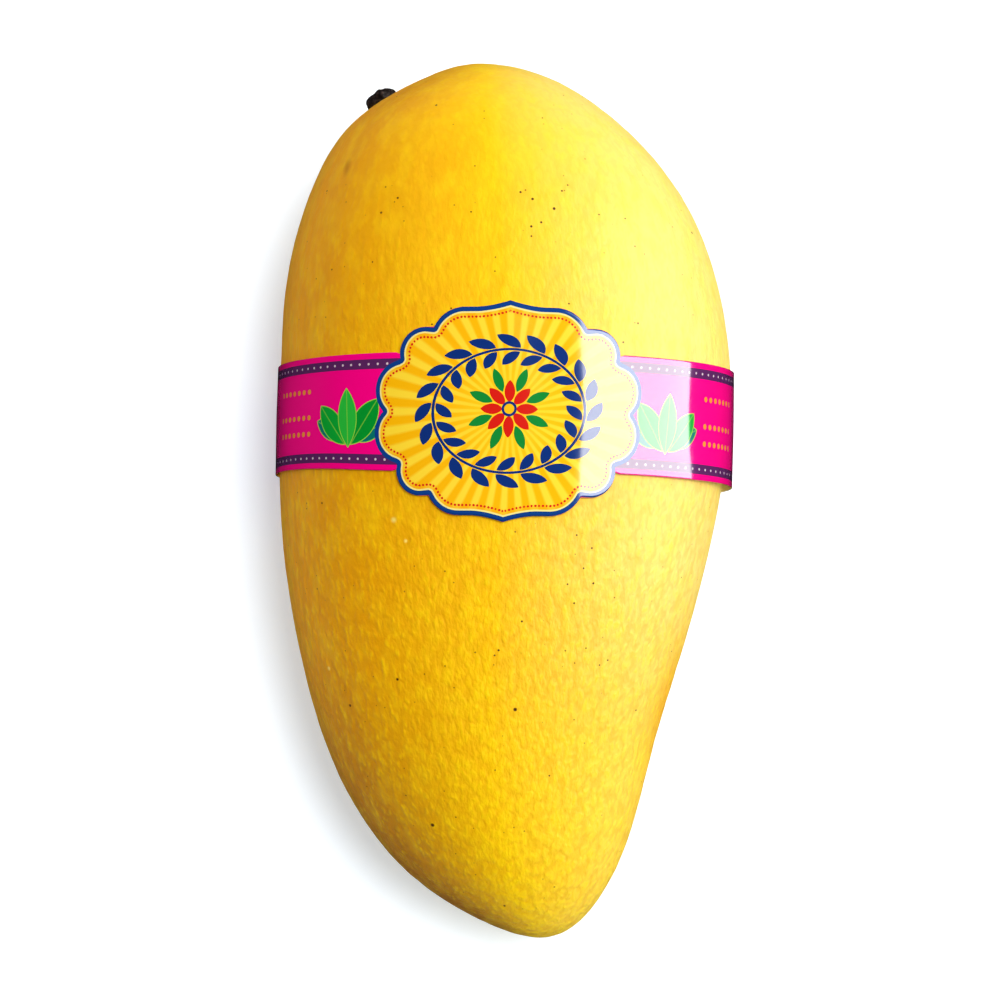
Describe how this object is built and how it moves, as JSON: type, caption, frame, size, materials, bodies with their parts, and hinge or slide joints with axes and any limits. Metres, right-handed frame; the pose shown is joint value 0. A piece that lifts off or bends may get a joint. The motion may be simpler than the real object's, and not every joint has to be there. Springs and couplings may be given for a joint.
{
  "type": "whole elongated yellow mango with a film wrap label",
  "caption": "Whole ripe golden mango lying on its cheek, long and tapered, with a dried stem stub and a printed plastic film wrap that widens into a scalloped badge.",
  "frame": {"origin": "centre of the whole object's footprint, at the level of the flat spot that the fruit rests on", "axes": "+Y along the fruit to its stem end, +Z from the resting cheek to the upper cheek, +X to the side that the tip bends to"},
  "size_m": [0.0945, 0.18, 0.0768],
  "materials": {
    "mango_skin": "waxy semi-gloss fruit skin, finely pebbled, golden yellow to amber",
    "dried_stem": "matt, dry, near black brown",
    "printed_film": "glossy thin plastic film printed magenta, yellow and blue"
  },
  "bodies": {
    "root": {"mango_fruit": "mango_skin", "stem_stub": "dried_stem", "label_wrap": "printed_film"}
  },
  "joints": []
}
